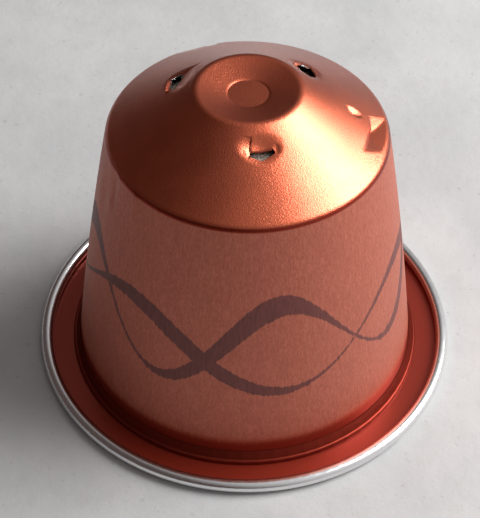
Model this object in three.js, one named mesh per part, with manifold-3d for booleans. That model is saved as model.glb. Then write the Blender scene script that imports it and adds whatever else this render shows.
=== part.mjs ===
// A spent aluminium coffee pod, standing on its lid: a drawn cup with a rolled rim, a foil lid,
// a sealing ring round the foot, and inside it the filter paper and the cake of used grounds.
// Millimetres, +Z up, origin at the middle of the face that the pod stands on.
import * as THREE from "three";
import { mergeVertices } from "three/addons/utils/BufferGeometryUtils.js";
import Module from "manifold-3d";

// Driving sizes of the drawn cup
const SHEET = 0.15; // thickness of the aluminium
const RIM_RADIUS = 18.55; // outside of the rolled rim
const CURL_RADIUS = 0.55; // outside of the roll's own round section
const CURL_SWEEP = 295; // degrees of the roll, which ends free above the flange
const FOOT_RADIUS = 15.0; // where the wall meets the flange
const FOOT_FILLET = 0.38;
const SHOULDER_RADIUS = 11.38;
const SHOULDER_HEIGHT = 24.25;
const SHOULDER_FILLET = 0.7;
const WALL_BULGE = 0.2; // how far the wall bows out between foot and shoulder
const CREST_RADIUS = 4.22; // the raised edge round the dished top
const CREST_HEIGHT = 28.54;
const CREST_FILLET = 0.75;
const DISH_DEPTH = 0.52; // from the crest down to the middle of the dish
const BUTTON_RADIUS = 1.66; // round stamp in the middle of the dish
const BUTTON_STEP = 0.12;
const BUTTON_RUN = 0.14; // width of the stamp's sloping edge

// Driving sizes of the pieces that go with the cup
const LID_FOIL = 0.1;
const LID_RISE = 0.35; // how far the middle of the lid is drawn in
const LID_EDGE_GAP = 0.12; // from the lid's edge to where the rim's roll starts to lift
const LID_BAND = 0.6; // the lid lies flat to this far inside the cup's foot
const LID_SLOPE_RUN = 1.1;
const SEAL_WIDTH = 0.48; // of the sealing ring, from the wall to its outer edge
const SEAL_EDGE = 0.2; // radius of its round outer edge
const SEAL_HEIGHT = 0.45; // of that edge above the flange
const SEAL_CLIMB = 1.1; // how far its film runs up the wall
const SEAL_GAP = 0.05;
const PAPER = 0.3;
const PAPER_DEPTH = 1.2; // from the cone's sheet to the paper, clear of the bent tongues
const PAPER_EDGE_RUN = 1.8; // length of the paper's edge that lifts to meet the shoulder
const SEAT_GAP = 0.3; // between the paper or the grounds and what holds them

// The three slits of the piercing blades, and the tongues that they left
const PIERCE_RADIUS = 6.35;
const PIERCE_AZIMUTHS = [-80.5, 39, 158];
const PIERCE_WIDTH = 1.95;
const PIERCE_TOP = 0.4; // from the middle of a slit up the cone to its straight edge
const PIERCE_POINT = 0.55; // and down the cone to its point
const TONGUE_LENGTH = 0.55;
const TONGUE_BEND = 100; // degrees, into the pod and back under the cone
const TONGUE_ROOT = 0.2; // how far the tongue's root runs back inside the sheet
const TONGUE_SIDE_GAP = 0.12;

// Dents: azimuth in degrees, distance down the sheet from the shoulder (up the cone is negative),
// half width round the pod, half length down the sheet, depth, and how softly the rim fades: 1 is a
// creased rim, 2 a smooth one
const DENTS = [
  { azimuth: -10.5, down: -1.1, width: 2.0, length: 1.15, depth: 0.34, fade: 1.2 },
  { azimuth: 6, down: -0.9, width: 1.5, length: 1.2, depth: -0.12, fade: 2 },
  { azimuth: 1, down: -3.6, width: 0.8, length: 0.9, depth: 0.18, fade: 1.5 },
  { azimuth: 113.5, down: -0.1, width: 2.1, length: 1.7, depth: 0.3, fade: 1.2 },
  { azimuth: -161, down: 3.4, width: 1.3, length: 3.2, depth: 0.2, fade: 2 },
  { azimuth: -149, down: 2.9, width: 1.5, length: 2.8, depth: 0.18, fade: 2 },
];
const PIERCE_DENT = { width: 1.9, length: 1.4, depth: 0.28, fade: 2, up: 0.35 };

// Fineness
const TURNS = 72; // facets round the cup, the lid and the sealing ring
const INNER_TURNS = 36; // facets round the paper and the grounds
const SHORTEST_EDGE = 0.004; // slivers finer than this are closed up after a cut

const wasm = await Module();
wasm.setup();

const radians = THREE.MathUtils.degToRad;
const FLANGE_HEIGHT = LID_FOIL + SHEET / 2; // middle of the flange's sheet
const FLANGE_TOP = LID_FOIL + SHEET;
const CURL_CENTRE = new THREE.Vector2(RIM_RADIUS - CURL_RADIUS, LID_FOIL + CURL_RADIUS);

// One run of a profile with rounded corners. Each corner has a place, a fillet radius and the number of
// steps round it; steps on the straight run to the next corner are its divide.
function roundedProfile(corners) {
  const points = [];
  corners.forEach((corner, i) => {
    const here = new THREE.Vector2(corner.r, corner.z);
    const before = corners[i - 1];
    const after = corners[i + 1];
    if (!before || !after || !corner.fillet) {
      points.push(here);
    } else {
      const back = new THREE.Vector2(before.r, before.z).sub(here).normalize();
      const on = new THREE.Vector2(after.r, after.z).sub(here).normalize();
      const half = back.angleTo(on) / 2;
      const tangent = corner.fillet / Math.tan(half);
      const middle = back.clone().add(on).normalize();
      const centre = here.clone().addScaledVector(middle, corner.fillet / Math.sin(half));
      const start = here.clone().addScaledVector(back, tangent).sub(centre);
      const sweep = (Math.PI - 2 * half) * Math.sign(back.cross(on));
      for (let k = 0; k <= corner.steps; k++) {
        const turned = start.clone().rotateAround(new THREE.Vector2(), (-sweep * k) / corner.steps);
        points.push(turned.add(centre));
      }
    }
    points[points.length - 1].divide_by = corner.divide || 1;
  });
  return divideRuns(points);
}

// Puts evenly spaced points on each straight run that asks for them.
function divideRuns(points) {
  const out = [];
  points.forEach((point, i) => {
    const next = points[i + 1];
    const count = next ? point.divide_by || 1 : 1;
    for (let k = 0; k < count; k++) {
      out.push(k ? point.clone().lerp(next, k / count) : point.clone());
    }
  });
  return out;
}

// How far the wall bows out at a height.
function wallBow(height) {
  const share = (height - FLANGE_HEIGHT) / (SHOULDER_HEIGHT - FLANGE_HEIGHT);
  return share > 0 && share < 1 ? WALL_BULGE * 4 * share * (1 - share) : 0;
}

// Radius of the wall's outer face at a height.
function wallRadius(height) {
  const lean = Math.atan2(FOOT_RADIUS - SHOULDER_RADIUS, SHOULDER_HEIGHT - FLANGE_HEIGHT);
  const middle = FOOT_RADIUS - (height - FLANGE_HEIGHT) * Math.tan(lean) + wallBow(height);
  return middle + SHEET / 2 / Math.cos(lean);
}

// The middle line of the cup's sheet, from the axis at the top, down the wall, out along the flange
// and round the roll.
function sheetLine() {
  const dishHeight = CREST_HEIGHT - DISH_DEPTH;
  const line = roundedProfile([
    { r: 0, z: dishHeight - BUTTON_STEP },
    { r: BUTTON_RADIUS, z: dishHeight - BUTTON_STEP },
    { r: BUTTON_RADIUS + BUTTON_RUN, z: dishHeight, divide: 2 },
    { r: CREST_RADIUS, z: CREST_HEIGHT, fillet: CREST_FILLET, steps: 2, divide: 9 },
    { r: SHOULDER_RADIUS, z: SHOULDER_HEIGHT, fillet: SHOULDER_FILLET, steps: 3, divide: 6 },
    { r: FOOT_RADIUS, z: FLANGE_HEIGHT, fillet: FOOT_FILLET, steps: 3, divide: 1 },
    { r: CURL_CENTRE.x, z: FLANGE_HEIGHT },
  ]);
  for (const point of line) {
    if (point.x > SHOULDER_RADIUS - SHOULDER_FILLET && point.y < SHOULDER_HEIGHT) point.x += wallBow(point.y);
  }
  const curlSteps = 10;
  for (let k = 1; k <= curlSteps; k++) {
    const angle = radians(-90 + (CURL_SWEEP * k) / curlSteps);
    const out = new THREE.Vector2(Math.cos(angle), Math.sin(angle));
    line.push(CURL_CENTRE.clone().addScaledVector(out, CURL_RADIUS - SHEET / 2));
  }
  return line;
}

// Gives each point of a line its outward normal and its distance along the line.
function stationsOf(line) {
  let along = 0;
  return line.map((point, i) => {
    const before = line[i - 1] || point;
    const after = line[i + 1] || point;
    along += i ? point.distanceTo(before) : 0;
    const back = point.clone().sub(before).normalize();
    const on = after.clone().sub(point).normalize();
    const way = back.add(on).normalize();
    const normal = i ? new THREE.Vector2(-way.y, way.x) : new THREE.Vector2(0, 1);
    return { point, normal, along };
  });
}

const stations = stationsOf(sheetLine());
const shoulderAlong = stations.reduce((best, station) =>
  Math.abs(station.point.y - SHOULDER_HEIGHT) < Math.abs(best.point.y - SHOULDER_HEIGHT) ? station : best
).along;

// Distance along the sheet of the middle of a slit.
const coneLength = Math.hypot(SHOULDER_RADIUS - CREST_RADIUS, CREST_HEIGHT - SHOULDER_HEIGHT);
const coneRun = (SHOULDER_RADIUS - CREST_RADIUS) / coneLength;
const coneFall = (CREST_HEIGHT - SHOULDER_HEIGHT) / coneLength;
const pierceDown = -(SHOULDER_RADIUS - PIERCE_RADIUS) / coneRun;

const allDents = [
  ...DENTS,
  ...PIERCE_AZIMUTHS.map((azimuth) => ({
    ...PIERCE_DENT,
    azimuth,
    down: pierceDown - PIERCE_DENT.up,
  })),
];

// How far the dents push the sheet in, at an azimuth and a distance along the sheet.
function dentDepth(azimuth, along, radius) {
  let depth = 0;
  for (const dent of allDents) {
    const turn = THREE.MathUtils.euclideanModulo(azimuth - radians(dent.azimuth) + Math.PI, 2 * Math.PI);
    const across = ((turn - Math.PI) * radius) / dent.width;
    const down = (along - shoulderAlong - dent.down) / dent.length;
    const reach = across * across + down * down;
    if (reach < 1) depth += dent.depth * (1 - reach) ** dent.fade;
  }
  return depth;
}

// A closed band of points (r, z, and the way they are dented) spun round the axis. Points on the axis
// become one vertex.
function spin(section, turns, place) {
  const positions = [];
  const rings = section.map((item) => {
    const onAxis = item.point.x < 1e-9;
    const ring = [];
    for (let k = 0; k < (onAxis ? 1 : turns); k++) {
      ring.push(positions.length / 3);
      positions.push(...place(item, (2 * Math.PI * k) / turns));
    }
    return ring;
  });
  const faces = [];
  rings.forEach((ring, i) => {
    const next = rings[(i + 1) % rings.length];
    for (let k = 0; k < turns; k++) {
      const a = ring[k % ring.length];
      const b = ring[(k + 1) % ring.length];
      const c = next[k % next.length];
      const d = next[(k + 1) % next.length];
      if (a !== b) faces.push(a, d, b);
      if (c !== d) faces.push(a, c, d);
    }
  });
  const geometry = new THREE.BufferGeometry();
  geometry.setAttribute("position", new THREE.Float32BufferAttribute(positions, 3));
  geometry.setIndex(faces);
  return geometry;
}

// Where a point of a section goes at an azimuth, pushed in by the dents of the sheet beside it.
function dented(item, azimuth) {
  const push = item.normal ? dentDepth(azimuth, item.along, item.point.x) : 0;
  const r = item.point.x - (item.normal ? item.normal.x * push : 0);
  const z = item.point.y - (item.normal ? item.normal.y * push : 0);
  return [r * Math.cos(azimuth), r * Math.sin(azimuth), z];
}

// The same station, moved out of the pod along its normal.
function offset(station, out) {
  return { ...station, point: station.point.clone().addScaledVector(station.normal, out) };
}

function toSolid(geometry) {
  const bare = geometry.clone();
  bare.deleteAttribute("normal");
  bare.deleteAttribute("uv");
  const merged = mergeVertices(bare, 1e-5);
  const mesh = new wasm.Mesh({
    numProp: 3,
    vertProperties: new Float32Array(merged.attributes.position.array),
    triVerts: new Uint32Array(merged.index.array),
  });
  return new wasm.Manifold(mesh);
}

function toGeometry(solid) {
  const mesh = solid.getMesh();
  const geometry = new THREE.BufferGeometry();
  geometry.setAttribute("position", new THREE.Float32BufferAttribute(mesh.vertProperties, 3));
  geometry.setIndex(Array.from(mesh.triVerts));
  geometry.computeVertexNormals();
  return geometry;
}

// A place on the dented cone, a given distance up or down it from the middle of the slits.
function onCone(azimuth, down) {
  const r = PIERCE_RADIUS + down * coneRun;
  const push = dentDepth(azimuth, shoulderAlong + pierceDown + down, r);
  const radius = r - push * coneFall;
  const z = CREST_HEIGHT - ((r - CREST_RADIUS) / coneRun) * coneFall - push * coneRun;
  return new THREE.Vector3(radius * Math.cos(azimuth), radius * Math.sin(azimuth), z);
}

// The directions at a slit: round the pod, down the cone, and out of the cone.
function slitDirections(azimuth) {
  const outward = new THREE.Vector3(Math.cos(azimuth), Math.sin(azimuth), 0);
  const across = new THREE.Vector3(-Math.sin(azimuth), Math.cos(azimuth), 0);
  const downCone = outward.clone().multiplyScalar(coneRun).setZ(-coneFall);
  const out = outward.clone().multiplyScalar(coneFall).setZ(coneRun);
  return { across, downCone, out };
}

// The blade's cut: five-sided, straight up the cone and pointed down it.
function slitCutter(azimuth) {
  const half = PIERCE_WIDTH / 2;
  const outline = new THREE.Shape([
    new THREE.Vector2(-half, -PIERCE_TOP),
    new THREE.Vector2(half, -PIERCE_TOP),
    new THREE.Vector2(half, 0),
    new THREE.Vector2(0, PIERCE_POINT),
    new THREE.Vector2(-half, 0),
  ]);
  const reach = 8 * SHEET;
  const geometry = new THREE.ExtrudeGeometry(outline, { depth: 2 * reach, bevelEnabled: false });
  geometry.translate(0, 0, -reach);
  const { across, downCone, out } = slitDirections(azimuth);
  const frame = new THREE.Matrix4().makeBasis(across.negate(), downCone, out);
  return toSolid(geometry.applyMatrix4(frame.setPosition(onCone(azimuth, 0))));
}

// The tongue that the blade bent in. It starts as a wedge inside the sheet, so that only the cut's
// straight face crosses it, and narrows to its tip.
function slitTongue(azimuth) {
  const half = PIERCE_WIDTH / 2 - TONGUE_SIDE_GAP;
  const bend = radians(TONGUE_BEND);
  const { downCone, out } = slitDirections(azimuth);
  const rows = [
    { edge: -TONGUE_ROOT, length: 0, half, lean: 0, thickness: SHEET * 0.3 },
    { edge: 0, length: 0, half, lean: bend / 2, thickness: SHEET * 0.8 },
    { edge: 0, length: TONGUE_LENGTH * 0.5, half, lean: bend, thickness: SHEET * 0.8 },
    { edge: 0, length: TONGUE_LENGTH, half: half * 0.35, lean: bend, thickness: SHEET * 0.8 },
  ];
  const columns = 6;
  const sections = rows.map((row) => {
    const upper = [];
    const lower = [];
    const way = downCone.clone().multiplyScalar(Math.cos(bend)).addScaledVector(out, -Math.sin(bend));
    const face = downCone.clone().multiplyScalar(Math.sin(row.lean)).addScaledVector(out, Math.cos(row.lean));
    for (let k = 0; k <= columns; k++) {
      const turn = ((2 * k) / columns - 1) * (row.half / PIERCE_RADIUS);
      const middle = onCone(azimuth + turn, row.edge - PIERCE_TOP).addScaledVector(way, row.length);
      upper.push(middle.clone().addScaledVector(face, row.thickness / 2));
      lower.unshift(middle.clone().addScaledVector(face, -row.thickness / 2));
    }
    return [...upper, ...lower];
  });
  return toSolid(loft(sections));
}

// A closed body through equal loops of points, capped at both ends as a strip is: across its thickness.
function loft(sections) {
  const count = sections[0].length;
  const faces = [];
  sections.slice(1).forEach((_, i) => {
    for (let k = 0; k < count; k++) {
      const a = i * count + k;
      const b = i * count + ((k + 1) % count);
      faces.push(a, b + count, b, a, a + count, b + count);
    }
  });
  const last = (sections.length - 1) * count;
  for (let k = 0; k < count / 2 - 1; k++) {
    const far = count - 1 - k;
    faces.push(k, far - 1, far, k, k + 1, far - 1);
    faces.push(last + k, last + far, last + far - 1, last + k, last + far - 1, last + k + 1);
  }
  const positions = sections.flat().flatMap((point) => point.toArray());
  const geometry = new THREE.BufferGeometry();
  geometry.setAttribute("position", new THREE.Float32BufferAttribute(positions, 3));
  geometry.setIndex(faces);
  return geometry;
}

// The cup: top, wall, flange and roll drawn from one sheet, dented, and pierced by the three blades.
function shellGeometry() {
  const outside = stations.map((station) => offset(station, SHEET / 2));
  const inside = stations.map((station) => offset(station, -SHEET / 2)).reverse();
  let solid = toSolid(spin([...outside, ...inside], TURNS, dented));
  for (const degrees of PIERCE_AZIMUTHS) {
    const azimuth = radians(degrees);
    solid = solid.subtract(slitCutter(azimuth)).add(slitTongue(azimuth));
  }
  return toGeometry(solid.simplify(SHORTEST_EDGE));
}

// The foil lid, flat where it is sealed under the flange and drawn in a little inside that.
function lidGeometry() {
  const edge = CURL_CENTRE.x - LID_EDGE_GAP;
  const outer = FOOT_RADIUS - LID_BAND;
  const inner = outer - LID_SLOPE_RUN;
  const lower = [
    { r: 0, z: LID_RISE },
    { r: inner, z: LID_RISE },
    { r: (inner + outer) / 2, z: LID_RISE / 2 },
    { r: outer, z: 0 },
    { r: edge, z: 0 },
  ];
  const upper = lower.map(({ r, z }) => ({ r, z: z + LID_FOIL })).reverse();
  const section = [...lower, ...upper].reverse();
  return spin(section.map(({ r, z }) => ({ point: new THREE.Vector2(r, z) })), TURNS, dented);
}

// The sealing ring, laid in the corner between the wall and the flange: a round outer edge, and a film
// that thins out up the wall.
function sealGeometry() {
  const edge = FOOT_RADIUS + SHEET / 2 + SEAL_GAP + SEAL_WIDTH;
  const centre = new THREE.Vector2(edge - SEAL_EDGE, FLANGE_TOP + SEAL_HEIGHT - SEAL_EDGE);
  const section = [
    { r: centre.x, z: FLANGE_TOP },
    { r: edge, z: FLANGE_TOP },
  ];
  const steps = 4;
  for (let k = 0; k <= steps; k++) {
    const angle = (Math.PI * 0.6 * k) / steps;
    section.push({ r: centre.x + SEAL_EDGE * Math.cos(angle), z: centre.y + SEAL_EDGE * Math.sin(angle) });
  }
  const climb = FLANGE_TOP + SEAL_CLIMB;
  const low = FLANGE_TOP + SEAL_HEIGHT;
  section.push({ r: wallRadius(climb) + SEAL_GAP, z: climb }, { r: wallRadius(low) + SEAL_GAP, z: low });
  return spin(section.reverse().map(({ r, z }) => ({ point: new THREE.Vector2(r, z) })), TURNS, dented);
}

// A line of points under the cone, a given depth below the sheet, each with the dent of the sheet above.
// Its edge lifts towards the shoulder over a given run.
function underCone(depth, edgeDepth) {
  const steps = 6;
  const line = [];
  const from = CREST_RADIUS * 0.85;
  const to = SHOULDER_RADIUS - SHOULDER_FILLET;
  for (let k = 0; k <= steps; k++) {
    const r = from + ((to - from) * k) / steps;
    const left = (to - r) / coneRun;
    const lift = THREE.MathUtils.smoothstep(PAPER_EDGE_RUN - left, 0, PAPER_EDGE_RUN);
    const below = SHEET / 2 + THREE.MathUtils.lerp(depth, edgeDepth, lift);
    const normal = new THREE.Vector2(coneFall, coneRun);
    const onCone = new THREE.Vector2(r, CREST_HEIGHT - ((r - CREST_RADIUS) / coneRun) * coneFall);
    line.push({
      point: onCone.addScaledVector(normal, -below),
      normal,
      along: shoulderAlong - (SHOULDER_RADIUS - r) / coneRun,
    });
  }
  const top = line[0].point.y;
  return [{ point: new THREE.Vector2(0, top) }, ...line];
}

// The paper under the cone, which keeps the grounds off the slits. Its edge meets the shoulder.
function paperGeometry() {
  const upper = underCone(PAPER_DEPTH, SEAT_GAP);
  const lower = underCone(PAPER_DEPTH + PAPER, SEAT_GAP + PAPER).reverse();
  return spin([...upper, ...lower], INNER_TURNS, dented);
}

// The cake of used grounds, which fills the pod from the lid to the paper.
function groundsGeometry() {
  const cover = SEAT_GAP + PAPER + SEAT_GAP;
  const top = underCone(PAPER_DEPTH + PAPER + SEAT_GAP, cover);
  const edge = top[top.length - 1].point.y;
  const lidTop = LID_RISE + LID_FOIL + SEAT_GAP;
  const side = stations
    .map((station) => offset(station, -SHEET / 2 - SEAT_GAP))
    .filter(({ point }) => point.x > SHOULDER_RADIUS - SHOULDER_FILLET && point.x < FOOT_RADIUS)
    .filter(({ point }) => point.y < edge && point.y > lidTop + FOOT_FILLET);
  const foot = side[side.length - 1].point;
  const section = [
    ...top,
    ...side,
    { point: new THREE.Vector2(foot.x, lidTop) },
    { point: new THREE.Vector2(0, lidTop) },
  ];
  return spin(section, INNER_TURNS, dented);
}

const copper = new THREE.MeshStandardMaterial({ color: 0xa5512f, metalness: 1, roughness: 0.38 });
const foil = new THREE.MeshStandardMaterial({ color: 0xc9cacb, metalness: 1, roughness: 0.3 });
const elastomer = new THREE.MeshStandardMaterial({ color: 0x8a3a26, metalness: 0, roughness: 0.3 });
const paper = new THREE.MeshStandardMaterial({ color: 0x8f8278, metalness: 0, roughness: 0.95 });
const coffee = new THREE.MeshStandardMaterial({ color: 0x2b1810, metalness: 0, roughness: 0.9 });

function piece(name, geometry, material) {
  const mesh = new THREE.Mesh(geometry, material);
  mesh.name = name;
  return mesh;
}

const pod = new THREE.Group();
pod.add(
  piece("capsule_shell", shellGeometry(), copper),
  piece("foil_lid", lidGeometry(), foil),
  piece("sealing_ring", sealGeometry(), elastomer),
  piece("filter_paper", paperGeometry(), paper),
  piece("coffee_grounds", groundsGeometry(), coffee)
);

export default pod;
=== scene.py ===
"""The looks of a spent aluminium coffee pod: satin copper lacquer, a matt printed wall, a bare rolled rim."""

import math

import bpy
import numpy as np
from mathutils import Matrix, Vector


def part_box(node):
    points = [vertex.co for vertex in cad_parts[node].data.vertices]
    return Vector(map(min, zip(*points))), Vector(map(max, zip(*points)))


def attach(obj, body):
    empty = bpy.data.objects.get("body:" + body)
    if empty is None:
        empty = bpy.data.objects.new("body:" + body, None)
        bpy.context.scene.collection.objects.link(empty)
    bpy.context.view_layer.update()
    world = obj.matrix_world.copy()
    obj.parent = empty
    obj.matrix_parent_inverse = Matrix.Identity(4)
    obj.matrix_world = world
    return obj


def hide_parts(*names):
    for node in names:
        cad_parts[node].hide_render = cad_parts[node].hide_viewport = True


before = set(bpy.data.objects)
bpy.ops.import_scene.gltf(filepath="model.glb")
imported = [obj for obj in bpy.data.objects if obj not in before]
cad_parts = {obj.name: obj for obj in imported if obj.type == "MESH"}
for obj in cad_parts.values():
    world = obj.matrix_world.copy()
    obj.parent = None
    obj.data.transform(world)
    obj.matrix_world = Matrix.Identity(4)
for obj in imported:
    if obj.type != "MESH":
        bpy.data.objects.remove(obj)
MM = 0.001


def write_bounds():
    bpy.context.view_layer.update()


write_bounds()

# Sizes in millimetres and angles in degrees
shell_low, shell_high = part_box("capsule_shell")
SHEET = 0.15  # thickness of the cup's sheet
LID_FOIL = shell_low.z / MM  # thickness of the lid under the cup
RIM_RADIUS = shell_high.x / MM
CURL_RADIUS = 0.55  # outside of the rolled rim
CURL_SWEEP = 295.0
CURL_POINTS = 160
FOOT_RADIUS = 15.0
FOOT_FILLET = 0.38
FLANGE_Z = LID_FOIL + SHEET / 2
SHOULDER = (11.38, 24.25)
SHOULDER_FILLET = 0.7
WALL_BULGE = 0.2
CREST = (4.22, shell_high.z / MM - 0.02)
CREST_FILLET = 0.75
DISH_DEPTH = 0.52
BUTTON_RADIUS = 1.66  # the round stamp in the dish
BUTTON_STEP = 0.07
BUTTON_RUN = 0.14
BUTTON_FILLET = 0.12
CURL_CENTRE = (RIM_RADIUS - CURL_RADIUS, LID_FOIL + CURL_RADIUS)

PIERCE_RADIUS = 6.35  # distance of the slits from the axis
PIERCE_POINT = 0.55
TONGUE_LENGTH = 0.36
TONGUE_BEND = 100.0
TONGUE_BEND_RADIUS = 0.08
TONGUE_MARGIN = 0.08  # between the tongue's sides and the ends of the slit's upper edge
TONGUE_TAPER = 0.8
TONGUE_WAVE = 0.03
TONGUE_WAVES = 5
TONGUE_HALF = SHEET * 0.45

PAPER = 0.3
PAPER_DEPTH = 1.2  # under the cone
PAPER_RISE = 0.66  # how far the wet grounds lift the paper behind each slit
PAPER_RISE_SIZE = (2.1, 1.5)  # half width and half length of that lift
PAPER_RISE_FALL = (0.15, 1.0)  # where it starts to fall off and where it ends, as shares of those
PAPER_RISE_OUT = 0.15
PAPER_EDGE_RUN = 1.8
PAPER_FLAT = 0.85  # the paper is level inside this share of the crest's radius
SEAT_GAP = 0.3  # between the paper's edge and the sheet

# Each slit: azimuth, and its outline across the sheet and down it from the slit's middle
SLITS = [
    {
        "az": -80.5,
        "outline": [(-0.9, -0.33), (0.97, -0.36), (1.13, 0.1), (-0.03, 0.6), (-0.95, 0.18)],
    },
    {
        "az": 39.0,
        "outline": [
            (-1.15, -0.62), (0.85, -0.62), (1.0, 0.1), (0.5, 0.52), (0.05, 0.4), (-0.6, 0.26), (-1.2, -0.2),
        ],
    },
    {
        "az": 158.0,
        "outline": [
            (-1.0, -0.2), (-0.6, -0.38), (0.9, -0.4), (1.15, -0.1),
            (0.85, 0.3), (0.2, 0.36), (-0.1, 0.56), (-0.85, 0.3),
        ],
    },
]
SLIT_REACH = (2.0, 1.5)  # no slit reaches farther from its middle, across and down

# Smooth dents: azimuth, distance down the sheet from the shoulder, half width, half length, depth, fade.
# Each slit has one more, a little above its middle.
DENTS = [
    (113.5, -0.1, 2.0, 1.5, 0.1, 1.2),
    (106, 0.0, 0.55, 0.8, 0.12, 1.2),
    (-161, 3.4, 1.3, 3.2, 0.16, 2),
]
SLIT_DENT = (1.9, 1.45, 0.27, 2)
SLIT_DENT_UP = 0.4

# Folds: azimuth and distance down the sheet of a reference point, the two ends of the crease from it,
# depth, and how far each bank reaches, on the side of growing azimuth when the fold runs down, and opposite.
# The folds at the slits have the slit's number and are measured from its middle.
FOLDS = [
    (0, -3.3, (0.46, -0.8), (0.12, 0.55), 0.25, 0.4, 0.6),
    (-153, 2.0, (-0.1, -1.9), (0.05, 1.6), 0.24, 0.9, 1.9),
    (-138, 1.4, (0.1, -1.3), (0.0, 1.5), -0.11, 0.4, 1.6),
]
SLIT_FOLDS = [
    (0, (-0.6, -1.4), (-1.0, 0.35), 0.13, 0.04, 1.3),
    (0, (-1.15, -0.4), (-1.17, 0.3), -0.04, 0.2, 0.2),
    (0, (1.25, -0.6), (1.3, 0.25), 0.07, 0.35, 0.4),
    (1, (1.02, -0.95), (1.06, 0.1), -0.12, 0.2, 0.12),
    (1, (0.75, 0.66), (-0.75, 0.34), -0.12, 0.14, 0.2),
    (1, (1.0, -0.7), (-1.3, -0.7), 0.12, 0.3, 0.5),
    (2, (-0.2, 0.72), (1.6, 0.3), -0.24, 0.14, 0.12),
    (2, (-0.85, -0.3), (-2.1, -1.0), 0.08, 0.5, 0.25),
    (2, (-0.75, 0.42), (0.1, 0.62), -0.1, 0.12, 0.12),
    (2, (1.25, -0.6), (1.0, 0.2), 0.1, 0.3, 0.3),
]
FOLD_ROUNDING = 0.02  # of the crease itself
FOLD_WIDE = 0.8  # a bank that reaches farther than this levels out in a curve
FOLD_WIDE_FADE = 1.6

# The knock beside the shoulder: a pit with flat banks. Each bank has the two ends of its upper edge, across
# the sheet and down it from the shoulder, and its slope.
KNOCK_AZIMUTH = -8.0
KNOCK_RADIUS = 10.7
KNOCK_BANKS = [
    ((2.95, -0.1), (2.1, -2.0), 0.4),
    ((2.1, -2.0), (-2.6, -1.95), 1.2),
    ((-2.6, -1.95), (-1.2, -0.4), 0.3),
    ((-1.2, -0.4), (2.95, -0.15), 0.42),
]
KNOCK_ROUNDING = 0.03


# The middle of the sheet
def smoothstep(low, high, x):
    t = np.clip((x - low) / (high - low), 0, 1)
    return t * t * (3 - 2 * t)


def fillet(before, corner, after, radius, step=0.02):
    """Points round a filleted corner of a polyline."""
    before, corner, after = (np.array(p, float) for p in (before, corner, after))
    back = (before - corner) / np.linalg.norm(before - corner)
    on = (after - corner) / np.linalg.norm(after - corner)
    half = math.acos(float(back @ on)) / 2
    middle = (back + on) / np.linalg.norm(back + on)
    centre = corner + middle * radius / math.sin(half)
    start = corner + back * radius / math.tan(half) - centre
    sweep = -(math.pi - 2 * half) * np.sign(back[0] * on[1] - back[1] * on[0])
    count = max(4, int(radius * abs(sweep) / step))
    turned = []
    for angle in np.linspace(0, sweep, count):
        c, s = math.cos(angle), math.sin(angle)
        turned.append(centre + [c * start[0] - s * start[1], s * start[0] + c * start[1]])
    return turned


def densified(points, step=0.05):
    """The polyline with its long sides divided."""
    dense = [points[0]]
    for a, b in zip(points, points[1:]):
        count = max(1, int(np.linalg.norm(b - a) / step))
        for k in range(1, count + 1):
            dense.append(a + (b - a) * k / count)
    return np.array(dense)


def rolled_rim():
    angles = np.radians(np.linspace(-90, -90 + CURL_SWEEP, CURL_POINTS))[1:]
    roll = CURL_RADIUS - SHEET / 2
    return np.stack([CURL_CENTRE[0] + roll * np.cos(angles), CURL_CENTRE[1] + roll * np.sin(angles)], 1)


def middle_line():
    """The middle of the cup's sheet as a fine line from the top's centre to the free end of the roll."""
    dish = CREST[1] - DISH_DEPTH
    button, step_end = (BUTTON_RADIUS, dish - BUTTON_STEP), (BUTTON_RADIUS + BUTTON_RUN, dish)
    foot, flange_end = (FOOT_RADIUS, FLANGE_Z), (CURL_CENTRE[0], FLANGE_Z)
    points = [np.array([0, dish - BUTTON_STEP])]
    points += fillet(points[0], button, step_end, BUTTON_FILLET)
    points += fillet(button, step_end, CREST, BUTTON_FILLET)
    points += fillet(step_end, CREST, SHOULDER, CREST_FILLET)
    points += fillet(CREST, SHOULDER, foot, SHOULDER_FILLET)
    points += fillet(SHOULDER, foot, flange_end, FOOT_FILLET)
    points.append(np.array(flange_end))
    line = densified(points)
    share = (line[:, 1] - FLANGE_Z) / (SHOULDER[1] - FLANGE_Z)
    on_wall = (line[:, 0] > SHOULDER[0] - SHOULDER_FILLET) & (share > 0) & (share < 1)
    line[:, 0] += np.where(on_wall, WALL_BULGE * 4 * share * (1 - share), 0)
    return np.concatenate([line, rolled_rim()])


LINE = middle_line()
ALONG = np.concatenate([[0], np.cumsum(np.linalg.norm(np.diff(LINE, axis=0), axis=1))])


def along_at(test):
    return ALONG[int(np.argmax(test))]


# Places on the line, as distances along the sheet from the top's centre
S_CREST = along_at(LINE[:, 0] > CREST[0])
S_SHOULDER = along_at((LINE[:, 1] < SHOULDER[1]) & (LINE[:, 0] > CREST[0] + 2))
S_FOOT = along_at((LINE[:, 1] < FLANGE_Z + 0.2) & (LINE[:, 0] > SHOULDER[0] + 1))
S_CURL = along_at(LINE[:, 0] >= CURL_CENTRE[0] - 1e-6)
CONE_LENGTH = math.dist(CREST, SHOULDER)
CONE_RUN = (SHOULDER[0] - CREST[0]) / CONE_LENGTH
CONE_FALL = (CREST[1] - SHOULDER[1]) / CONE_LENGTH
S_SLIT = S_SHOULDER - (SHOULDER[0] - PIERCE_RADIUS) / CONE_RUN

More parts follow.
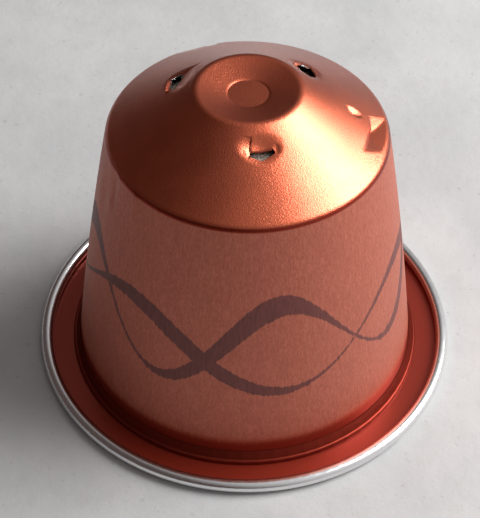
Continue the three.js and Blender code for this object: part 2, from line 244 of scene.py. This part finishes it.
# How finely the sheet is divided: along it up to a place, in bands round a place, and from a place on;
# and round the axis in bands
UP_TO = [(S_SHOULDER + 5, 0.42), (S_SHOULDER, 0.3)]
BANDS = [
    (BUTTON_RADIUS + 0.1, 0.35, 0.06),
    (S_CREST, 0.5, 0.09),
    (S_SLIT - 0.25, 1.35, 0.075),
    (S_SHOULDER, 0.6, 0.09),
    (S_SHOULDER - 2.2, 2.0, 0.155),
    (S_FOOT + 0.1, 0.6, 0.09),
]
FROM = [(S_FOOT + 0.6, 0.5), (S_CURL - 0.1, 0.14)]
COARSE_ALONG = 0.85
TURN_BANDS = [(-6, 18, 0.9), (-149, 15, 1.5)]
TURN_BANDS += [(slit["az"], 15, 1.2) for slit in SLITS]
TURN_BANDS += [(slit["az"], 11.5, 0.7) for slit in SLITS]
COARSE_TURN = 2.1


def spaced(low, high, spacing):
    """Values from low to high whose spacing follows a function."""
    fine = np.linspace(low, high, 6000)
    density = 1 / spacing(fine)
    count = np.concatenate([[0], np.cumsum((density[1:] + density[:-1]) / 2 * np.diff(fine))])
    steps = int(round(count[-1]))
    return np.interp(np.linspace(0, count[-1], steps + 1), count, fine)


def station_spacing(s):
    h = np.full_like(s, COARSE_ALONG)
    for end, spacing in UP_TO:
        h = np.where(s < end, spacing, h)
    for centre, reach, spacing in BANDS:
        h = np.where(np.abs(s - centre) < reach, np.minimum(h, spacing), h)
    for start, spacing in FROM:
        h = np.where(s > start, spacing, h)
    return h


def turn_spacing(degrees):
    h = np.full_like(degrees, COARSE_TURN)
    for centre, reach, spacing in TURN_BANDS:
        gap = np.abs((degrees - centre + 180) % 360 - 180)
        h = np.where(gap < reach, np.minimum(h, spacing), h)
    return h


STATIONS = spaced(0, ALONG[-1], station_spacing)[1:]
TURNS = np.radians(spaced(-180, 180, turn_spacing))[:-1]


# How far the sheet is pushed in along its normal
def turn_from(az, centre):
    return (az - math.radians(centre) + math.pi) % (2 * math.pi) - math.pi


def slit_coordinates(az, s, r, slit):
    """Across and down the sheet from the middle of a slit."""
    return turn_from(az, slit["az"]) * r, s - S_SLIT


def beside(u, v, start, end):
    """How far a point is along the line between two points, as a share of it, and how far to its side."""
    side = np.array(end) - np.array(start)
    length = np.linalg.norm(side)
    share = ((u - start[0]) * side[0] + (v - start[1]) * side[1]) / length**2
    off = ((u - start[0]) * side[1] - (v - start[1]) * side[0]) / length
    return share, off


def dent_push(u, v, width, length, depth, fade):
    """A smooth oval dent."""
    reach = (u / width) ** 2 + (v / length) ** 2
    return np.where(reach < 1, depth * (1 - np.minimum(reach, 1)) ** fade, 0)


def fold_push(u, v, start, end, depth, far, near):
    """A crease between two points, with a straight bank on each side that thins out towards its ends."""
    share, off = beside(u, v, start, end)
    swell = np.sqrt(np.clip(4 * share * (1 - share), 0, 1))
    reach = np.where(off > 0, far, near) * np.maximum(swell, 0.02)
    height = np.clip(1 - np.sqrt(off**2 + FOLD_ROUNDING**2) / reach, 0, 1)
    return depth * swell * height ** np.where(reach > FOLD_WIDE, FOLD_WIDE_FADE, 1.0)


def knock_push(az, s):
    """The pit of the knock, as deep as its shallowest bank says, with rounded corners."""
    u, v = turn_from(az, KNOCK_AZIMUTH) * KNOCK_RADIUS, s - S_SHOULDER
    total = np.zeros(u.shape)
    for start, end, slope in KNOCK_BANKS:
        bank = beside(u, v, start, end)[1] * slope
        total += np.exp(-np.clip(bank, -1, 2) / KNOCK_ROUNDING)
    return np.maximum(-KNOCK_ROUNDING * np.log(total), 0)


def push_in(az, s, r):
    push = np.zeros(np.broadcast(az, s).shape)
    for centre, down, *shape in DENTS:
        push += dent_push(turn_from(az, centre) * r, s - S_SHOULDER - down, *shape)
    for centre, down, *shape in FOLDS:
        push += fold_push(turn_from(az, centre) * r, s - S_SHOULDER - down, *shape)
    push += knock_push(az, s)
    for number, slit in enumerate(SLITS):
        u, v = slit_coordinates(az, s, r, slit)
        push += dent_push(u, v + SLIT_DENT_UP, *SLIT_DENT)
        for which, *shape in SLIT_FOLDS:
            if which == number:
                push += fold_push(u, v, *shape)
    return push


# The cup
def outline_distance(u, v, outline):
    """Signed distance to a closed outline, negative inside, and the nearest point on it."""
    point = np.stack([u, v], -1)
    best = np.full(u.shape, 1e9)
    near = np.zeros(point.shape)
    inside = np.zeros(u.shape, bool)
    for a, b in zip(outline, np.roll(outline, -1, 0)):
        side = b - a
        t = np.clip(((point - a) @ side) / (side @ side), 0, 1)
        foot = a + t[..., None] * side
        d = np.linalg.norm(point - foot, axis=-1)
        near = np.where((d < best)[..., None], foot, near)
        best = np.minimum(best, d)
        crosses = (a[1] > v) != (b[1] > v)
        with np.errstate(divide="ignore", invalid="ignore"):
            x = a[0] + (v - a[1]) * (b[0] - a[0]) / (b[1] - a[1])
        inside ^= crosses & (u < x)
    return np.where(inside, -best, best), near


def line_at(s):
    return np.interp(s, ALONG, LINE[:, 0]), np.interp(s, ALONG, LINE[:, 1])


def line_normals(stations, step=0.01):
    (r1, z1), (r0, z0) = line_at(stations + step), line_at(stations - step)
    length = np.hypot(r1 - r0, z1 - z0)
    return (-(z1 - z0) / length)[:, None], ((r1 - r0) / length)[:, None]


def sheet_grid():
    """The middle of the sheet, a row of points for each station, and which of them lie in a slit. Those
    are drawn to the slit's outline."""
    r = line_at(STATIONS)[0][:, None]
    az = np.broadcast_to(TURNS[None, :], (len(STATIONS), len(TURNS))).copy()
    s = np.broadcast_to(STATIONS[:, None], az.shape).copy()
    hidden = np.zeros(az.shape, bool)
    for slit in SLITS:
        u, v = slit_coordinates(az, s, r, slit)
        d, near = outline_distance(u, v, np.array(slit["outline"]))
        cut = (np.abs(u) < SLIT_REACH[0]) & (np.abs(v) < SLIT_REACH[1]) & (d < 0)
        hidden |= cut
        az = np.where(cut, math.radians(slit["az"]) + near[..., 0] / r, az)
        s = np.where(cut, S_SLIT + near[..., 1], s)
    r, z = line_at(s)
    nr, nz = line_normals(STATIONS)
    push = push_in(az, s, r)
    pr, pz = r - nr * push, z - nz * push
    return np.stack([pr * np.cos(az), pr * np.sin(az), pz], -1), hidden, s


def grid_normals(middle):
    across = np.roll(middle, -1, 1) - np.roll(middle, 1, 1)
    along = np.gradient(middle, axis=0)
    normal = np.cross(along, across)
    return normal / np.maximum(np.linalg.norm(normal, axis=-1, keepdims=True), 1e-12)


def closed_sheet(front, edge, count):
    """Faces of a sheet with its back's points behind the front's: front, back and the edge between them.
    The front has material slot 0, the rest slot 1."""
    faces = front + [tuple(reversed([i + count for i in face])) for face in front]
    faces += [(int(b), int(a), int(a) + count, int(b) + count) for a, b in edge]
    return faces, [0] * len(front) + [1] * (len(faces) - len(front))


def free_edges(quads, fan, count):
    """The directed edges that only one face has."""
    sides = [np.stack([quads[:, i], quads[:, (i + 1) % 4]], 1) for i in range(4)]
    sides.append(np.array([(f[i], f[(i + 1) % 3]) for f in fan for i in range(3)]))
    edges = np.concatenate(sides)
    key = np.sort(edges, 1)
    code = key[:, 0].astype(np.int64) * count + key[:, 1]
    _, first, times = np.unique(code, return_index=True, return_counts=True)
    return edges[first[times == 1]]


def build_shell():
    middle, hidden, s = sheet_grid()
    rows, turns = hidden.shape
    half = SHEET / 2
    normal = grid_normals(middle)
    top = np.array([[0, 0, LINE[0, 1]]])
    outer = np.concatenate([top + [0, 0, half], (middle + normal * half).reshape(-1, 3)])
    inner = np.concatenate([top - [0, 0, half], (middle - normal * half).reshape(-1, 3)])
    index = 1 + np.arange(rows * turns).reshape(rows, turns)
    a, b = index[:-1], np.roll(index[:-1], -1, 1)
    c, d = np.roll(index[1:], -1, 1), index[1:]
    gone = hidden[:-1] & np.roll(hidden[:-1], -1, 1) & np.roll(hidden[1:], -1, 1) & hidden[1:]
    quads = np.stack([a, d, c, b], -1)[~gone]
    fan = [(0, int(index[0, j]), int(index[0, (j + 1) % turns])) for j in range(turns)]
    front = [tuple(q) for q in quads.tolist()] + fan
    faces, slots = closed_sheet(front, free_edges(quads, fan, len(outer)), len(outer))
    along = np.concatenate([[0], s.ravel(), [0], s.ravel()]) - S_SHOULDER
    return np.concatenate([outer, inner]), faces, slots, along


# The tongues
def tongue_bend(down):
    """How a strip runs on along the cone and in under it, and how far it has turned."""
    theta = np.minimum(down / TONGUE_BEND_RADIUS, math.radians(TONGUE_BEND))
    mean = (theta[1:] + theta[:-1]) / 2
    on = np.concatenate([[0], np.cumsum(np.cos(mean) * np.diff(down))])
    under = np.concatenate([[0], np.cumsum(np.sin(mean) * np.diff(down))])
    return on[:, None, None], under[:, None, None], theta[:, None, None]


def tongue_base(slit, across, down):
    """The slit's upper edge in the dented sheet, once for each row of the tongue, as wide as that row."""
    top = -slit["outline"][0][1]
    left = slit["outline"][0][0] + TONGUE_MARGIN
    right = slit["outline"][1][0] - TONGUE_MARGIN
    taper = np.where(down < top, 1.0, 1 - TONGUE_TAPER * (down - top) / PIERCE_POINT)
    u = (left + right) / 2 + across[None, :] * ((right - left) / 2 * taper)[:, None]
    az = math.radians(slit["az"]) + u / (PIERCE_RADIUS - top)
    s = np.full(az.shape, S_SLIT - top)
    r, z = line_at(s)
    push = push_in(az, s, r)
    r, z = r - CONE_FALL * push, z - CONE_RUN * push
    return np.stack([r * np.cos(az), r * np.sin(az), z], -1)


def tongue(slit):
    """The strip that the blade bent in from the upper edge of its slit."""
    across = np.linspace(-1, 1, 15)
    down = np.linspace(0, TONGUE_LENGTH, 14)
    on, under, theta = tongue_bend(down)
    az = math.radians(slit["az"])
    out = np.array([math.cos(az) * CONE_FALL, math.sin(az) * CONE_FALL, CONE_RUN])
    fall = np.array([math.cos(az) * CONE_RUN, math.sin(az) * CONE_RUN, -CONE_FALL])
    wave = TONGUE_WAVE * np.sin(across * TONGUE_WAVES + slit["az"])[None, :, None]
    wave = wave * (down[:, None, None] / TONGUE_LENGTH)
    middle = tongue_base(slit, across, down) + on * fall - under * out + wave * fall
    face = (np.sin(theta) * fall + np.cos(theta) * out) * TONGUE_HALF
    count = len(across) * len(down)
    index = np.arange(count).reshape(len(down), len(across))
    quads = np.stack([index[:-1, :-1], index[1:, :-1], index[1:, 1:], index[:-1, 1:]], -1).reshape(-1, 4)
    ring = np.concatenate([index[0, :], index[1:, -1], index[-1, -2::-1], index[-2:0:-1, 0]])
    faces, slots = closed_sheet([tuple(q) for q in quads.tolist()], zip(np.roll(ring, -1), ring), count)
    return np.concatenate([(middle + face).reshape(-1, 3), (middle - face).reshape(-1, 3)]), faces, slots


# The paper
def paper_sheet():
    """The filter paper under the cone, pressed up behind the slits by the wet grounds."""
    edge = SHOULDER[0] - SHOULDER_FILLET
    radii = np.concatenate([np.linspace(0.4, 4.8, 12), np.linspace(5.0, 7.6, 27), np.linspace(7.8, edge, 10)])
    turns = np.radians(np.linspace(-180, 180, 241))[:-1]
    r, az = np.meshgrid(radii, turns, indexing="ij")
    lift = smoothstep(0, PAPER_EDGE_RUN, PAPER_EDGE_RUN - (edge - r) / CONE_RUN)
    depth = PAPER_DEPTH + (SEAT_GAP - PAPER_DEPTH) * lift
    for slit in SLITS:
        u, v = turn_from(az, slit["az"]) * r, r - PIERCE_RADIUS - PAPER_RISE_OUT
        away = (u / PAPER_RISE_SIZE[0]) ** 2 + (v / PAPER_RISE_SIZE[1]) ** 2
        depth = depth - PAPER_RISE * (1 - smoothstep(*PAPER_RISE_FALL, away))
    fallen = (np.maximum(r, CREST[0] * PAPER_FLAT) - CREST[0]) * CONE_FALL / CONE_RUN
    top = CREST[1] - fallen - (SHEET / 2 + depth) / CONE_RUN
    upper = np.stack([r * np.cos(az), r * np.sin(az), top], -1)
    lower = upper - [0, 0, PAPER / CONE_RUN]
    index = np.arange(r.size).reshape(r.shape)
    nxt = np.roll(index, -1, 1)
    quads = np.stack([index[:-1], index[1:], nxt[1:], nxt[:-1]], -1).reshape(-1, 4)
    front = [tuple(q) for q in quads.tolist()] + [tuple(index[0].tolist())]
    faces, _ = closed_sheet(front, zip(index[-1], nxt[-1]), r.size)
    return np.concatenate([upper.reshape(-1, 3), lower.reshape(-1, 3)]), faces


# Materials. Colours are linear, and a pair is the darker and the lighter end of a cloudy or streaky mix.
COPPER = ((0.58, 0.104, 0.036, 1), (0.65, 0.12, 0.043, 1))
DEEP_RED_AND_PAINTED_SHADE = (0.29, 0.03, 0.014, 1)
# darker lacquer of the wall's foot and the flange, made darker still as painted shade and a painted
# reflection of the copper in that corner
WALL = ((0.47, 0.13, 0.08, 1), (0.58, 0.17, 0.107, 1))
WALL_WEAVE = (0.42, 0.1, 0.053, 1)
INK = ((0.13, 0.027, 0.021, 1), (0.19, 0.042, 0.033, 1))
BARE_METAL = (0.83, 0.83, 0.84, 1)
FOIL_METAL = (0.8, 0.8, 0.81, 1)
SEAL_RED = (0.2, 0.022, 0.011, 1)
FELT = ((0.06, 0.045, 0.035, 1), (0.48, 0.395, 0.325, 1))
COFFEE_STAIN = (0.2, 0.14, 0.1, 1)
GROUNDS = ((0.02, 0.011, 0.007, 1), (0.07, 0.04, 0.025, 1))
FLOOR = ((0.44, 0.444, 0.444, 1), (0.505, 0.505, 0.5, 1))
FLOOR_PATCH = (0.42, 0.415, 0.39, 1)
FLOOR_SPECK = (0.3, 0.3, 0.28, 1)
FINE_GRAIN = 0.00005  # depth of the lacquer's grain in metres

# The two brush-like bands: waves round the wall, phase, height of the middle and its swing in millimetres,
# the half width where the band is thickest and thinnest, and by how much the thick part leads the wave
PRINT_BANDS = [(4, 0.6, 12.6, 4.3, 1.25, 0.2, 0.9), (3, 2.4, 11.4, 3.4, 0.95, 0.15, -1.2)]
PRINT_TOP = (0.2, 0.4)  # the print starts here under the shoulder, along the sheet
PRINT_FOOT = (2.2, 3.4)  # and fades out at this height
SHOULDER_SHADE_LINE = ((-0.12, 0.06), (0.25, 0.45))  # a deep red line of painted shade along the shoulder's rounded edge starts and ends here


class Nodes:
    """Short calls to wire a material's nodes."""

    SETTINGS = ("operation", "data_type", "attribute_name", "interpolation_type")

    def __init__(self, name):
        self.material = bpy.data.materials.new(name)
        self.material.use_nodes = True
        self.tree = self.material.node_tree
        self.shader = self.tree.nodes["Principled BSDF"]

    def put(self, kind, **inputs):
        node = self.tree.nodes.new(kind)
        for key, value in inputs.items():
            if key in self.SETTINGS:
                setattr(node, key, value)
            else:
                self.set(node, key, value)
        return node

    def set(self, node, key, value):
        """Keys are socket names with _ for a space, or i and a socket's number."""
        numbered = key[0] == "i" and key[1:].isdigit()
        socket = node.inputs[int(key[1:]) if numbered else key.replace("_", " ")]
        if isinstance(value, bpy.types.NodeSocket):
            self.tree.links.new(value, socket)
        else:
            socket.default_value = value

    def math(self, operation, a, b=0.0):
        return self.put("ShaderNodeMath", operation=operation, i0=a, i1=b).outputs[0]

    def mix(self, share, a, b):
        return self.put("ShaderNodeMix", data_type="RGBA", i0=share, i6=a, i7=b).outputs[2]

    def mixf(self, share, a, b):
        return self.put("ShaderNodeMix", data_type="FLOAT", i0=share, i2=a, i3=b).outputs[0]

    def ramp(self, value, low, high, out_low=0.0, out_high=1.0):
        sockets = {"i0": value, "i1": low, "i2": high, "i3": out_low, "i4": out_high}
        return self.put("ShaderNodeMapRange", interpolation_type="SMOOTHSTEP", **sockets).outputs[0]

    def place(self):
        """Position in the pod's frame in millimetres."""
        return self.stretched(self.put("ShaderNodeTexCoord").outputs["Object"], (1000, 1000, 1000))

    def stretched(self, place, scale):
        return self.put("ShaderNodeVectorMath", operation="MULTIPLY", i0=place, i1=scale).outputs[0]

    def noise(self, place, scale, detail=2.0, roughness=0.5, distortion=0.0):
        sockets = {"Vector": place, "Scale": scale, "Detail": detail}
        sockets.update({"Roughness": roughness, "Distortion": distortion})
        return self.put("ShaderNodeTexNoise", **sockets).outputs["Fac"]

    def bump(self, height, strength, distance, **normal):
        node = self.put("ShaderNodeBump", Height=height, Strength=strength, Distance=distance, **normal)
        return node.outputs[0]

    def finish(self, **inputs):
        for key, value in inputs.items():
            self.set(self.shader, key, value)
        return self.material


def lacquer_zones(n, height, streak):
    """Shares of the printed matt part of the wall, of the deep red at its foot and on the flange, and of all
    that is deep red, with the line at the shoulder. The deep red is a darker lacquer with painted shade and
    a painted reflection of the copper in that corner in it, and the line is painted shade along the
    shoulder's edge."""
    along = n.put("ShaderNodeAttribute", attribute_name="along").outputs["Fac"]
    below = n.ramp(along, *PRINT_TOP)
    ragged_height = n.math("ADD", height, n.math("MULTIPLY", streak, 0.5))
    printed = n.math("MULTIPLY", below, n.ramp(ragged_height, *PRINT_FOOT))
    deep = n.math("MULTIPLY", below, n.math("SUBTRACT", 1.0, printed))
    start, end = SHOULDER_SHADE_LINE
    # a line of painted shade along the shoulder's rounded edge
    line = n.math("MULTIPLY", n.ramp(along, *start), n.ramp(along, *end, 1.0, 0.0))
    return printed, deep, n.math("MAXIMUM", deep, line)


def print_band(n, turn, height, streak, band):
    """Share of one brush-like band that waves round the wall."""
    count, phase, middle, swing, thick, thin, lead = band
    wave = n.math("SINE", n.math("ADD", n.math("MULTIPLY", turn, count), phase))
    centre = n.math("ADD", n.math("MULTIPLY", wave, swing), middle)
    swell = n.math("SINE", n.math("ADD", n.math("MULTIPLY", turn, count), phase + lead))
    half = n.math("ADD", n.math("MULTIPLY", swell, (thick - thin) / 2), (thick + thin) / 2)
    off = n.math("ABSOLUTE", n.math("SUBTRACT", height, centre))
    ragged = n.math("MULTIPLY", n.math("SUBTRACT", streak, 0.5), 0.5)
    return n.ramp(n.math("ADD", n.math("SUBTRACT", off, half), ragged), -0.07, 0.07, 1.0, 0.0)


def lacquered():
    n = Nodes("lacquered_aluminium")
    place = n.place()
    xyz = n.put("ShaderNodeSeparateXYZ", i0=place)
    turn, height = n.math("ARCTAN2", xyz.outputs[1], xyz.outputs[0]), xyz.outputs[2]
    grain = n.noise(place, 9.0, 2, 0.7)
    cloud = n.noise(place, 0.35, 2)
    streak = n.noise(n.stretched(place, (1, 1, 0.1)), 4.2, 3, 0.7)
    weave = n.noise(n.stretched(place, (1, 1, 0.35)), 7.5, 2, 0.7)

    printed, deep, red = lacquer_zones(n, height, streak)
    first, second = (print_band(n, turn, height, streak, band) for band in PRINT_BANDS)
    ink = n.math("MULTIPLY", n.math("MAXIMUM", first, second), printed)

    wall = n.mix(n.ramp(weave, 0.35, 0.75), n.mix(n.ramp(streak, 0.3, 0.7), *WALL), WALL_WEAVE)
    inked = n.mix(n.ramp(streak, 0.3, 0.7), *INK)
    # the deep red is the foot's and flange's darker lacquer plus painted shade and reflection; at the
    # shoulder it is a painted shade line
    plain = n.mix(red, n.mix(n.ramp(cloud, 0.35, 0.65), *COPPER), DEEP_RED_AND_PAINTED_SHADE)
    satin = n.bump(grain, n.mixf(deep, 0.5, 0.05), FINE_GRAIN)
    ribs = n.math("ADD", streak, n.math("MULTIPLY", weave, 0.5))
    return n.finish(
        Base_Color=n.mix(ink, n.mix(printed, plain, wall), inked),
        Metallic=n.mixf(printed, n.mixf(deep, 1.0, 0.6), n.mixf(ink, 0.72, 0.45)),
        Roughness=n.mixf(printed, n.mixf(deep, n.ramp(grain, 0.2, 0.8, 0.27, 0.33), 0.3), 0.58),
        Normal=n.bump(ribs, n.mixf(printed, 0.0, 0.5), FINE_GRAIN, Normal=satin),
        Coat_Weight=n.mixf(printed, n.mixf(red, 0.6, 0.12), 0.25),
        Coat_Roughness=n.mixf(printed, 0.22, 0.45),
        Coat_IOR=1.75,
        Coat_Normal=satin,
    )


def bare():
    n = Nodes("bare_aluminium")
    fine = n.noise(n.stretched(n.place(), (1, 1, 6)), 2.2, 3, 0.6)
    rough = n.ramp(fine, 0.3, 0.7, 0.16, 0.27)
    return n.finish(Base_Color=BARE_METAL, Metallic=1.0, Roughness=rough, Normal=n.bump(fine, 0.12, 0.00004))


def foil():
    n = Nodes("foil")
    crumple = n.bump(n.noise(n.place(), 0.5, 3, 0.5), 0.35, 0.0002)
    return n.finish(Base_Color=FOIL_METAL, Metallic=1.0, Roughness=0.3, Normal=crumple)


def sealant():
    return Nodes("sealant").finish(Base_Color=SEAL_RED, Metallic=0.85, Roughness=0.4)


def felt():
    n = Nodes("paper")
    place = n.place()
    fibre = n.noise(place, 3.5, 5, 0.7, 2.5)
    stain = n.noise(place, 0.8, 3, 0.6)
    color = n.mix(n.ramp(stain, 0.5, 0.75, 0.0, 0.5), n.mix(n.ramp(fibre, 0.35, 0.6), *FELT), COFFEE_STAIN)
    return n.finish(Base_Color=color, Roughness=0.9, Normal=n.bump(fibre, 0.9, 0.0002))


def coffee():
    n = Nodes("coffee")
    grit = n.noise(n.place(), 2.4, 4, 0.7)
    return n.finish(Base_Color=n.mix(grit, *GROUNDS), Roughness=0.85, Normal=n.bump(grit, 0.9, 0.0003))


def pale_floor():
    n = Nodes("pale_floor")
    place = n.place()
    cloud = n.noise(place, 0.06, 4, 0.6)
    patch = n.noise(place, 0.35, 4, 0.65)
    speck = n.noise(place, 1.6, 2, 0.5)
    color = n.mix(n.ramp(cloud, 0.35, 0.65), *FLOOR)
    color = n.mix(n.ramp(patch, 0.5, 0.75, 0.0, 0.35), color, FLOOR_PATCH)
    color = n.mix(n.ramp(speck, 0.64, 0.74, 0.0, 0.4), color, FLOOR_SPECK)
    return n.finish(Base_Color=color, Roughness=0.75, Normal=n.bump(patch, 0.3, 0.0003))


# The pieces
def new_object(name, points, faces, materials, slots=None):
    mesh = bpy.data.meshes.new(name)
    mesh.from_pydata([tuple(p) for p in np.asarray(points) * MM], [], faces)
    for material in materials:
        mesh.materials.append(material)
    if slots is not None:
        mesh.polygons.foreach_set("material_index", slots)
    mesh.validate()
    mesh.shade_smooth()
    mesh.set_sharp_from_angle(angle=math.radians(40))
    obj = bpy.data.objects.new(name, mesh)
    bpy.context.scene.collection.objects.link(obj)
    return obj


def keep(obj, node):
    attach(obj, "root")
    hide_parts(node)


def pod_shell():
    """The cup with its tongues."""
    points, faces, slots, along = build_shell()
    for slit in SLITS:
        more, extra, extra_slots = tongue(slit)
        base = len(points)
        points = np.concatenate([points, more])
        faces += [tuple(i + base for i in face) for face in extra]
        slots += extra_slots
        along = np.concatenate([along, np.full(len(more), S_SLIT - S_SHOULDER)])
    shell = new_object("pod_shell", points, faces, [lacquered(), bare()], slots)
    attribute = shell.data.attributes.new("along", "FLOAT", "POINT")
    attribute.data.foreach_set("value", along.astype(np.float32))
    return shell


# Floor, light and camera
FLOOR_DROP = 0.01  # in millimetres, so that the lid and the floor don't share a plane
KEY = {"direction": (0.72, 0.12, 0.68), "distance": 0.32, "size": (0.2, 0.22), "power": 1.55}
SKY_COLOR = (0.97, 0.985, 1.0)
SKY_SIDE = (0.85, 0.0, 0.53)
SKY_STRENGTH = 0.64
ROOM_COLOR = (1.0, 0.73, 0.66)
ROOM_STRENGTH = 0.08
CAMERA_PLACE = (-0.4848, -91.0574, 104.3853)
CAMERA_RIGHT = (0.999913, 0.009550, 0.009137)
CAMERA_UP = (-0.013217, 0.722492, 0.691253)


def floor():
    bpy.ops.mesh.primitive_plane_add(size=3)
    plane = bpy.context.object
    plane.location.z = -FLOOR_DROP * MM
    plane.name = "floor"
    plane.data.materials.append(pale_floor())


def window(name, direction, distance, size, power):
    light = bpy.data.lights.new(name, "AREA")
    light.shape = "RECTANGLE"
    light.size, light.size_y = size
    light.energy = power
    obj = bpy.data.objects.new(name, light)
    d = Vector(direction).normalized()
    obj.location = d * distance
    obj.rotation_euler = (-d).to_track_quat("-Z", "Y").to_euler()
    bpy.context.scene.collection.objects.link(obj)


def surroundings():
    """A wide soft sky on the right and a faint warm room all round."""
    world = bpy.data.worlds.new("studio")
    bpy.context.scene.world = world
    world.use_nodes = True
    nodes, links = world.node_tree.nodes, world.node_tree.links

    def vector_math(operation, first, second=None, scale=None):
        node = nodes.new("ShaderNodeVectorMath")
        node.operation = operation
        for key, value in ((0, first), (1, second), ("Scale", scale)):
            if isinstance(value, bpy.types.NodeSocket):
                links.new(value, node.inputs[key])
            elif value is not None:
                node.inputs[key].default_value = value
        return node.outputs

    way = nodes.new("ShaderNodeTexCoord").outputs["Generated"]
    facing = vector_math("DOT_PRODUCT", way, Vector(SKY_SIDE).normalized())["Value"]
    lobe = nodes.new("ShaderNodeMapRange")
    lobe.interpolation_type = "SMOOTHSTEP"
    links.new(facing, lobe.inputs[0])
    for number, value in enumerate((0, 1, 0, SKY_STRENGTH), 1):
        lobe.inputs[number].default_value = value
    sky = vector_math("SCALE", SKY_COLOR, scale=lobe.outputs[0])[0]
    room = vector_math("SCALE", ROOM_COLOR, scale=ROOM_STRENGTH)[0]
    links.new(vector_math("ADD", sky, room)[0], nodes["Background"].inputs["Color"])


def camera():
    data = bpy.data.cameras.new("camera")
    data.sensor_width = 36
    data.lens = 104.49
    data.clip_start, data.clip_end = 0.005, 10
    obj = bpy.data.objects.new("camera", data)
    bpy.context.scene.collection.objects.link(obj)
    right, up = Vector(CAMERA_RIGHT), Vector(CAMERA_UP)
    matrix = Matrix((right, up, right.cross(up))).transposed().to_4x4()
    matrix.translation = Vector(CAMERA_PLACE) * MM
    obj.matrix_world = matrix
    bpy.context.scene.camera = obj


keep(pod_shell(), "capsule_shell")
keep(new_object("felt_paper", *paper_sheet(), [felt()]), "filter_paper")
for name, make in (("coffee_grounds", coffee), ("foil_lid", foil), ("sealing_ring", sealant)):
    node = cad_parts[name]
    node.data.materials.clear()
    node.data.materials.append(make())
floor()
surroundings()
window("key", **KEY)
camera()
bpy.context.scene.view_settings.view_transform = "Standard"
write_bounds()
